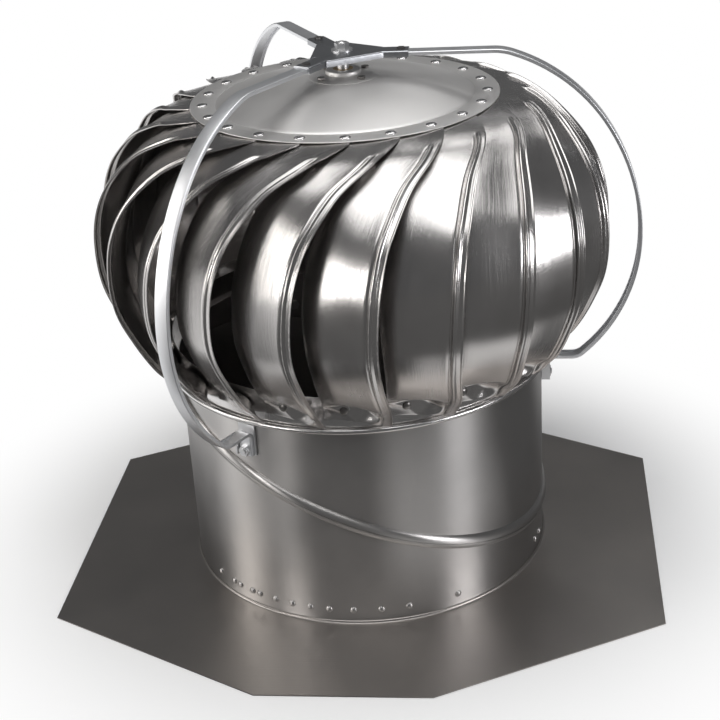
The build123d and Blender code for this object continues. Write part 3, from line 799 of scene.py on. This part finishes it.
def brace_route(drop):
    """Outer line of a strap as (radius, height) in mm, from the spider round the rotor and
    down onto its bracket."""
    line = [np.array([(radius, BRACE_TOP_Z) for radius in BRACE_TOP_R])]
    here, heading = line[0][-1], np.array([1.0, 0.0])
    for knot in BRACE_KNOTS:
        points, heading = tangent_arc(here, heading, knot)
        line.append(points)
        here = points[-1]
    line.append(np.array([(FOOT_FACE_R + FOOT_BEND, FOOT_Z)]))
    points, heading = tangent_arc(line[-1][-1], (-1.0, 0.0), (FOOT_FACE_R, FOOT_Z - FOOT_BEND), 8)
    line += [points, np.array([(FOOT_FACE_R, FOOT_Z - drop)])]
    return np.concatenate(line)


CHANNEL_CORNER = 0.9 * MM
CHANNEL_LEFT = 0.05 * MM  # depth that is left of the channel where it is filled
FLAT_TOP, FLAT_FOOT = 14.0 * MM, 22.0 * MM  # lengths at the ends where a strap is flat
FLAT_FADE_TOP, FLAT_FADE_FOOT = 12.0 * MM, 10.0 * MM


def channel_profile(width, depth, wall, filled):
    """Closed sections of a shallow channel, open towards the rotor, one for each value of
    `filled`: x across and y inwards. From 0 to 1, `filled` lifts the channel's floor by
    that share of its depth, up to a plain strap."""
    half, corner = width / 2, CHANNEL_CORNER
    section = np.concatenate([
        arc_points((-half + corner, corner), corner, 180.0, 270.0, 5),
        arc_points((half - corner, corner), corner, 270.0, 360.0, 5),
        [(half, depth), (half - wall, depth), (half - wall, wall),
         (-half + wall, wall), (-half + wall, depth), (-half, depth)],
    ])
    lifted = np.zeros(len(section))
    lifted[-4:-2] = depth - wall - CHANNEL_LEFT
    x = np.broadcast_to(section[:, 0], (len(filled), len(section)))
    return x, section[:, 1] + lifted * filled[:, None]


class VENTILATOR_OT_braces(bpy.types.Operator):
    """Makes the strap braces as shallow channels that pass round the rotor"""

    bl_idname = "ventilator.braces"
    bl_label = "Braces"

    def execute(self, context):
        look = context.scene.ventilator_frame
        for number, (azimuth, drop) in enumerate(zip(BRACE_AZIMUTHS, FOOT_DROPS), start=1):
            route = brace_route(drop) * MM
            ahead = unit(np.gradient(route, axis=0))
            inward = np.stack([ahead[:, 1], -ahead[:, 0]], axis=-1)
            run = np.concatenate([[0.0], np.cumsum(np.linalg.norm(np.diff(route, axis=0), axis=-1))])
            flat = 1 - (step(0.0, FLAT_FADE_TOP, run - FLAT_TOP)
                        * step(0.0, FLAT_FADE_FOOT, run[-1] - FLAT_FOOT - run))
            x, y = channel_profile(look.width, look.depth, look.wall, flat)
            radial = route[:, None] + y[..., None] * inward[:, None]
            grid = turned(np.stack([radial[..., 0], x, radial[..., 1]], axis=-1), azimuth)
            closed_sheet(grid[:, ::-1], f"strap_brace_{number}", "head_frame", "strap",
                         f"brace_{number}", 40.0, capped=True)
        return {"FINISHED"}


SPIDER_REACH = 52.0 * MM
SPIDER_HALF = 7.5 * MM
SPIDER_CENTRE = 17.0 * MM
SPIDER_WEB = 23.0 * MM
SPIDER_POWER = 14.0
SPIDER_TOP_Z = 430.0 * MM
SPIDER_GAUGE, SPIDER_DEPTH, SPIDER_BEND = 1.2 * MM, 5.0 * MM, 1.4 * MM
SPIDER_BORE_R = 3.02 * MM
WEB_HALF_TURN = math.radians(46.0)


def spider_outline(azimuth, inset):
    """Radius of the three-armed outline: each arm is a bar cut square at its reach, joined
    to its neighbours by straight webs that stand square to the line between them, all
    blended by the 14th root of a sum of 14th powers. A web's radius is its distance over
    the cosine of the angle from its middle."""
    reach, half, centre = SPIDER_REACH - inset * 0.2, SPIDER_HALF - inset, SPIDER_CENTRE - inset
    result = np.zeros_like(azimuth)
    for arm in BRACE_AZIMUTHS:
        off = np.abs(np.angle(np.exp(1j * (azimuth - math.radians(arm)))))
        side = half / np.maximum(np.sin(off), 1e-6)
        end = reach / np.maximum(np.cos(off), 1e-6)
        bar = np.where(off < math.pi / 2, np.minimum(side, end), 0.0)
        result = np.maximum(result, bar)
        from_web = np.abs(np.angle(np.exp(1j * (azimuth - math.radians(arm + 60.0)))))
        web = (SPIDER_WEB - inset) / np.maximum(np.cos(from_web), 0.5)
        result = np.maximum(result, np.where(from_web < WEB_HALF_TURN, web, 0.0))
    return (result**SPIDER_POWER + centre**SPIDER_POWER) ** (1 / SPIDER_POWER)


ARM_SPREAD = 0.5  # radians to each side of an arm where columns crowd, by the cube of the way


def spider_grid():
    """Closed sheet of the spider: from the bore over its flat top, round a quarter turn and
    down the turned edge, then back under the plate. Columns crowd towards each arm."""
    arms = np.radians(BRACE_AZIMUTHS)[:, None]
    near = arms + ARM_SPREAD * np.linspace(-1.0, 1.0, 61) ** 3
    corner = math.atan2(SPIDER_HALF, SPIDER_REACH)
    ends = arms + np.array([-corner, corner])
    even = np.linspace(-math.pi, math.pi, 181)[:-1]
    azimuth = np.unique(np.round(np.concatenate([even, near.ravel(), ends.ravel()]), 5))
    azimuth = azimuth[(azimuth >= -math.pi) & (azimuth < math.pi)]
    top, gauge, deep, bend = SPIDER_TOP_Z, SPIDER_GAUGE, SPIDER_DEPTH, SPIDER_BEND
    rows = [*arc_points((bend, top - bend), bend, 90.0, 180.0, 6), (0.0, top - deep), (gauge, top - deep),
            (gauge, top - gauge)]
    bore = [np.full_like(azimuth, SPIDER_BORE_R)]
    outline = np.array(bore + [spider_outline(azimuth, inset) for inset, _ in rows] + bore)
    heights = np.array([top, *(z for _, z in rows), top - gauge])
    return polar(outline, np.degrees(azimuth)[None, :], heights[:, None])[::-1]


HUB_SEAT_Z = RIM_Z + CROWN_RISE
HUB_BODY_R = 14.0 * MM
HUB_BORE_R = 8.02 * MM
HUB_FLANGE_R = 28.0 * MM
HUB_TOP_Z = HUB_SEAT_Z + 5.5 * MM
HUB_BOTTOM_Z = HUB_TOP_Z - 70.0 * MM
HUB_ROUND = 1.6 * MM
HUB_FLANGE_T = 1.5 * MM
HUB_FLANGE_Z = HUB_SEAT_Z + HUB_FLANGE_T
HUB_FLANGE_EDGE, HUB_FLANGE_FEATHER = 0.1 * MM, 6.0 * MM
HUB_SEGMENTS = 96


class VENTILATOR_OT_hub(bpy.types.Operator):
    """Makes the bearing hub: a turned body with a thin flange that feathers out on the cap"""

    bl_idname = "ventilator.hub"
    bl_label = "Hub"

    def execute(self, context):
        shoulder = arc_points((HUB_BODY_R - HUB_ROUND, HUB_TOP_Z - HUB_ROUND), HUB_ROUND, 90.0, 0.0, 7)
        profile = np.concatenate([
            [(HUB_BORE_R, HUB_BOTTOM_Z), (HUB_BORE_R, HUB_TOP_Z)], shoulder,
            [(HUB_BODY_R, HUB_FLANGE_Z + 0.7 * MM), (HUB_BODY_R + 1.0 * MM, HUB_FLANGE_Z),
             (HUB_FLANGE_R - HUB_FLANGE_FEATHER, HUB_FLANGE_Z - 0.2 * MM),
             (HUB_FLANGE_R, HUB_SEAT_Z + HUB_FLANGE_EDGE), (HUB_FLANGE_R, HUB_SEAT_Z),
             (HUB_BODY_R, HUB_SEAT_Z), (HUB_BODY_R, HUB_BOTTOM_Z)],
        ])
        grid = revolved(profile, HUB_SEGMENTS)
        closed_sheet(grid, "bearing_hub", "rotor", "cap", "hub_housing")
        return {"FINISHED"}


class VENTILATOR_OT_spider(bpy.types.Operator):
    """Makes the pressed spider plate with its turned-down edge"""

    bl_idname = "ventilator.spider"
    bl_label = "Spider"

    def execute(self, context):
        grid = spider_grid()
        closed_sheet(grid, "spider_plate", "head_frame", "spider", "brace_spider", 40.0)
        return {"FINISHED"}


# ---- hardware that keeps its CAD mesh
HARDWARE = {
    "zinc": ("brace_bracket_1", "brace_bracket_2", "brace_bracket_3", "spider_washer", "spider_nut",
             "foot_bolts", "foot_nuts", "thrust_collar", "rotor_shaft"),
    "dark_rivet": ("hub_rivets", "spider_rivets"),
    "bronze": ("upper_bush", "lower_bush"),
}


class VENTILATOR_OT_hardware(bpy.types.Operator):
    """Gives the small hardware its finishes"""

    bl_idname = "ventilator.hardware"
    bl_label = "Hardware"

    def execute(self, context):
        for finish, nodes in HARDWARE.items():
            for node in nodes:
                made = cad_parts[node]
                made.data.materials.clear()
                made.data.materials.append(finish_named(finish))
        return {"FINISHED"}


# ---- stage
VIEW_AZIMUTH = 7.0
VIEW_ELEVATION = 25.58
VIEW_ROLL = -3.56
VIEW_DISTANCE = 1.31659
VIEW_TARGET_Z = 0.16287
VIEW_SIDE = -0.00095
LENS = 77.36
SENSOR_WIDTH = 36.0
VIEW_REACH = 60.0

WHITE = (1.0, 1.0, 1.0)
ROOM_TINT = (0.95, 0.97, 1.0)
PAPER_ROUGHNESS = 0.9
FLOOR_HALF = 12.0
FLOOR_Z = -0.0004
LAMPS = (  # name, place, aim, size, power, tint
    ("overhead_softbox", (0.05, -0.45, 1.75), (0.0, -0.1, 0.25), (1.4, 1.7), 17.0, WHITE),
    ("left_softbox", (-1.31, -1.51, 0.62), (0.0, 0.0, 0.25), (0.42, 0.62), 6.5, (1.0, 0.98, 0.96)),
    ("far_left_softbox", (-1.75, -0.45, 0.85), (0.0, 0.0, 0.3), (0.6, 1.5), 10.0, (1.0, 0.98, 0.95)),
    ("right_softbox", (1.77, -0.94, 0.55), (0.0, 0.0, 0.28), (0.6, 0.7), 12.0, (0.98, 0.98, 1.0)),
    ("rear_softbox", (0.6, 1.3, 2.3), (0.0, 0.0, 0.3), (1.2, 0.6), 4.0, WHITE),
)


def camera_matrix():
    """Camera place from azimuth, elevation, roll, distance and target height."""
    a, e, r = (math.radians(v) for v in (VIEW_AZIMUTH, VIEW_ELEVATION, VIEW_ROLL))
    back = Vector((math.sin(a) * math.cos(e), -math.cos(a) * math.cos(e), math.sin(e)))
    right = (-back).cross(Vector((0, 0, 1))).normalized()
    up = right.cross(-back)
    rolled_right = right * math.cos(r) + up * math.sin(r)
    rolled_up = up * math.cos(r) - right * math.sin(r)
    place = Vector((0, 0, VIEW_TARGET_Z)) + back * VIEW_DISTANCE + rolled_right * VIEW_SIDE
    turn = Matrix((rolled_right, rolled_up, back)).transposed().to_4x4()
    return Matrix.Translation(place) @ turn


def softbox(name, place, aim, size, power, tint):
    """A rectangular studio lamp at a place, facing its aim."""
    lamp = bpy.data.lights.new(name, "AREA")
    lamp.shape = "RECTANGLE"
    lamp.size, lamp.size_y = size
    lamp.energy = power
    lamp.color = tint
    made = bpy.data.objects.new(name, lamp)
    facing = (Vector(place) - Vector(aim)).to_track_quat("Z", "Y")
    made.matrix_world = Matrix.Translation(place) @ facing.to_matrix().to_4x4()
    bpy.context.scene.collection.objects.link(made)


class VentilatorStage(bpy.types.PropertyGroup):
    """Floor, lamps and surroundings."""

    floor_tone: FloatProperty(
        name="Floor tone", description="Grey of the floor in reflections", default=0.80, min=0.0, max=1.0)
    shadow_near: FloatProperty(
        name="Shadow near", description="Distance at which the floor starts to turn plain white",
        default=0.20, unit="LENGTH")
    shadow_far: FloatProperty(
        name="Shadow far", description="Distance past which the floor is plain white", default=0.42,
        unit="LENGTH")
    cards_near: FloatProperty(
        name="Cards near", description="Distance at which the outer cards begin", default=0.31,
        unit="LENGTH")
    cards_far: FloatProperty(
        name="Cards far", description="Distance past which only the outer cards show", default=0.44,
        unit="LENGTH")
    mirror_room: FloatProperty(
        name="White room in mirrors", description="Share of the white room that shiny metal shows",
        default=0.03, min=0.0, max=1.0)
    room: FloatProperty(
        name="Room", description="Light of the room round the lamps", default=0.08, min=0.0)


# Cards on the floor that shiny metal mirrors: bearing in degrees from the front (-Y) towards
# +X, and brightness. Between two of them the brightness runs evenly.
CARDS_NEAR = (
    (-180.0, 0.10), (-82.0, 0.10), (-66.0, 1.0), (-52.0, 0.9), (-26.0, 0.10), (8.0, 0.10), (22.0, 1.0),
    (62.0, 1.0), (82.0, 0.14), (180.0, 0.10),
)
CARDS_FAR = (
    (-180.0, 1.0), (-72.0, 1.0), (-54.0, 0.12), (118.0, 0.10), (150.0, 0.7), (180.0, 1.0),
)


def card_ramp(paper, bearing, cards):
    """Brightness of the cards laid on the floor, by bearing."""
    stops = [(degrees / 360.0 + 0.5, (level, level, level)) for degrees, level in cards]
    return paper.node("ShaderNodeValToRGB", {"stops": stops}, Fac=bearing)


def fade(paper, distance, near, far):
    """Smooth change from 0 to 1 between two distances from the axis."""
    return paper.node("ShaderNodeMapRange", {"interpolation_type": "SMOOTHSTEP"},
                      Value=distance, From_Min=near, From_Max=far)


def studio_paper(look):
    """White paper that takes the object's shadow and turns plain white further out. In
    reflections it shows bright and dark cards that lie round the object: their bearing is
    the arc tangent of x over minus y, as a share of a full turn from the rear."""
    paper = Finish("floor_paper")
    camera_ray, glossy_ray, clear_ray = paper.rays()
    place = paper.node("ShaderNodeTexCoord", output=3)
    x, y = paper.node("ShaderNodeSeparateXYZ", output=(0, 1), Vector=place)
    away = (x * x + y * y) ** 0.5
    turn = paper.node("ShaderNodeMath", {"operation": "ARCTAN2"}, at={0: x, 1: y * -1.0})
    bearing = turn * (0.5 / math.pi) + 0.5
    outer = fade(paper, away, look.cards_near, look.cards_far)
    cards = paper.mix(outer, card_ramp(paper, bearing, CARDS_NEAR), card_ramp(paper, bearing, CARDS_FAR))
    lit = paper.mix(1.0, cards, (look.floor_tone,) * 3, "MULTIPLY")
    tone = paper.mix(camera_ray, lit, WHITE)
    paper.set(Base_Color=tone, Roughness=PAPER_ROUGHNESS, Specular_IOR_Level=0.0)
    glow = paper.node("ShaderNodeEmission", Color=paper.mix(camera_ray, cards, WHITE))
    shown = fade(paper, away, look.shadow_near, look.shadow_far) * (camera_ray + glossy_ray + clear_ray)
    paper.blend_shaders(shown, Signal(paper.tree, paper.surface.outputs[0]), glow, "Material Output")
    return paper.material


def studio_room(look):
    """Dim room that the camera sees as plain white, and shiny or clear things in part."""
    world = bpy.data.worlds.new("studio_room")
    world.use_nodes = True
    room = Nodes(world.node_tree)
    sky = room.tree.nodes["Background"]
    room.feed(sky.inputs["Color"], (*ROOM_TINT, 1.0))
    room.feed(sky.inputs["Strength"], look.room)
    dim, white = Signal(room.tree, sky.outputs[0]), room.node("ShaderNodeBackground", Color=(*WHITE, 1.0))
    camera_ray, glossy_ray, clear_ray = room.rays()
    room.blend_shaders(camera_ray + (glossy_ray + clear_ray) * look.mirror_room, dim, white, "World Output")
    return world


class VENTILATOR_OT_stage(bpy.types.Operator):
    """Sets the floor, the lamps, the surroundings and the camera"""

    bl_idname = "ventilator.stage"
    bl_label = "Stage"

    def execute(self, context):
        look = context.scene.ventilator_stage
        corners = ((-1, -1), (1, -1), (1, 1), (-1, 1))
        mesh = bpy.data.meshes.new("studio_floor")
        mesh.from_pydata([(x * FLOOR_HALF, y * FLOOR_HALF, FLOOR_Z) for x, y in corners], [], [(0, 1, 2, 3)])
        mesh.materials.append(studio_paper(look))
        floor = bpy.data.objects.new("studio_floor", mesh)
        context.scene.collection.objects.link(floor)
        context.scene.world = studio_room(look)
        for lamp in LAMPS:
            softbox(*lamp)
        lens = bpy.data.cameras.new("studio_view")
        lens.lens = LENS
        lens.sensor_width = SENSOR_WIDTH
        lens.clip_end = VIEW_REACH
        camera = bpy.data.objects.new("studio_view", lens)
        camera.matrix_world = camera_matrix()
        context.scene.collection.objects.link(camera)
        context.scene.camera = camera
        context.scene.view_settings.view_transform = "Standard"
        return {"FINISHED"}


# ---- add-on
class VENTILATOR_PT_panel(bpy.types.Panel):
    """Lists the ventilator's pieces"""

    bl_idname = "VENTILATOR_PT_panel"
    bl_label = "Ventilator"
    bl_space_type = "VIEW_3D"
    bl_region_type = "UI"
    bl_category = "Ventilator"

    def draw(self, context):
        for operator in OPERATORS:
            self.layout.operator(operator.bl_idname)


OPERATORS = (
    VENTILATOR_OT_stage, VENTILATOR_OT_flashing, VENTILATOR_OT_throat, VENTILATOR_OT_ring,
    VENTILATOR_OT_vanes, VENTILATOR_OT_cap, VENTILATOR_OT_hub, VENTILATOR_OT_braces, VENTILATOR_OT_spider,
    VENTILATOR_OT_hardware,
)
SETTINGS = {
    "ventilator_rotor": VentilatorRotor, "ventilator_base": VentilatorBase,
    "ventilator_frame": VentilatorFrame, "ventilator_finish": VentilatorFinish,
    "ventilator_stage": VentilatorStage,
}


def register():
    for kind in (*SETTINGS.values(), *OPERATORS, VENTILATOR_PT_panel):
        bpy.utils.register_class(kind)
    for name, kind in SETTINGS.items():
        setattr(bpy.types.Scene, name, PointerProperty(type=kind))


def unregister():
    for name in SETTINGS:
        delattr(bpy.types.Scene, name)
    for kind in (VENTILATOR_PT_panel, *reversed(OPERATORS), *SETTINGS.values()):
        bpy.utils.unregister_class(kind)


def main():
    """Builds everything."""
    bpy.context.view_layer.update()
    register()
    for operator in OPERATORS:
        group, name = operator.bl_idname.split(".")
        getattr(getattr(bpy.ops, group), name)()


if __name__ == "__main__":
    main()
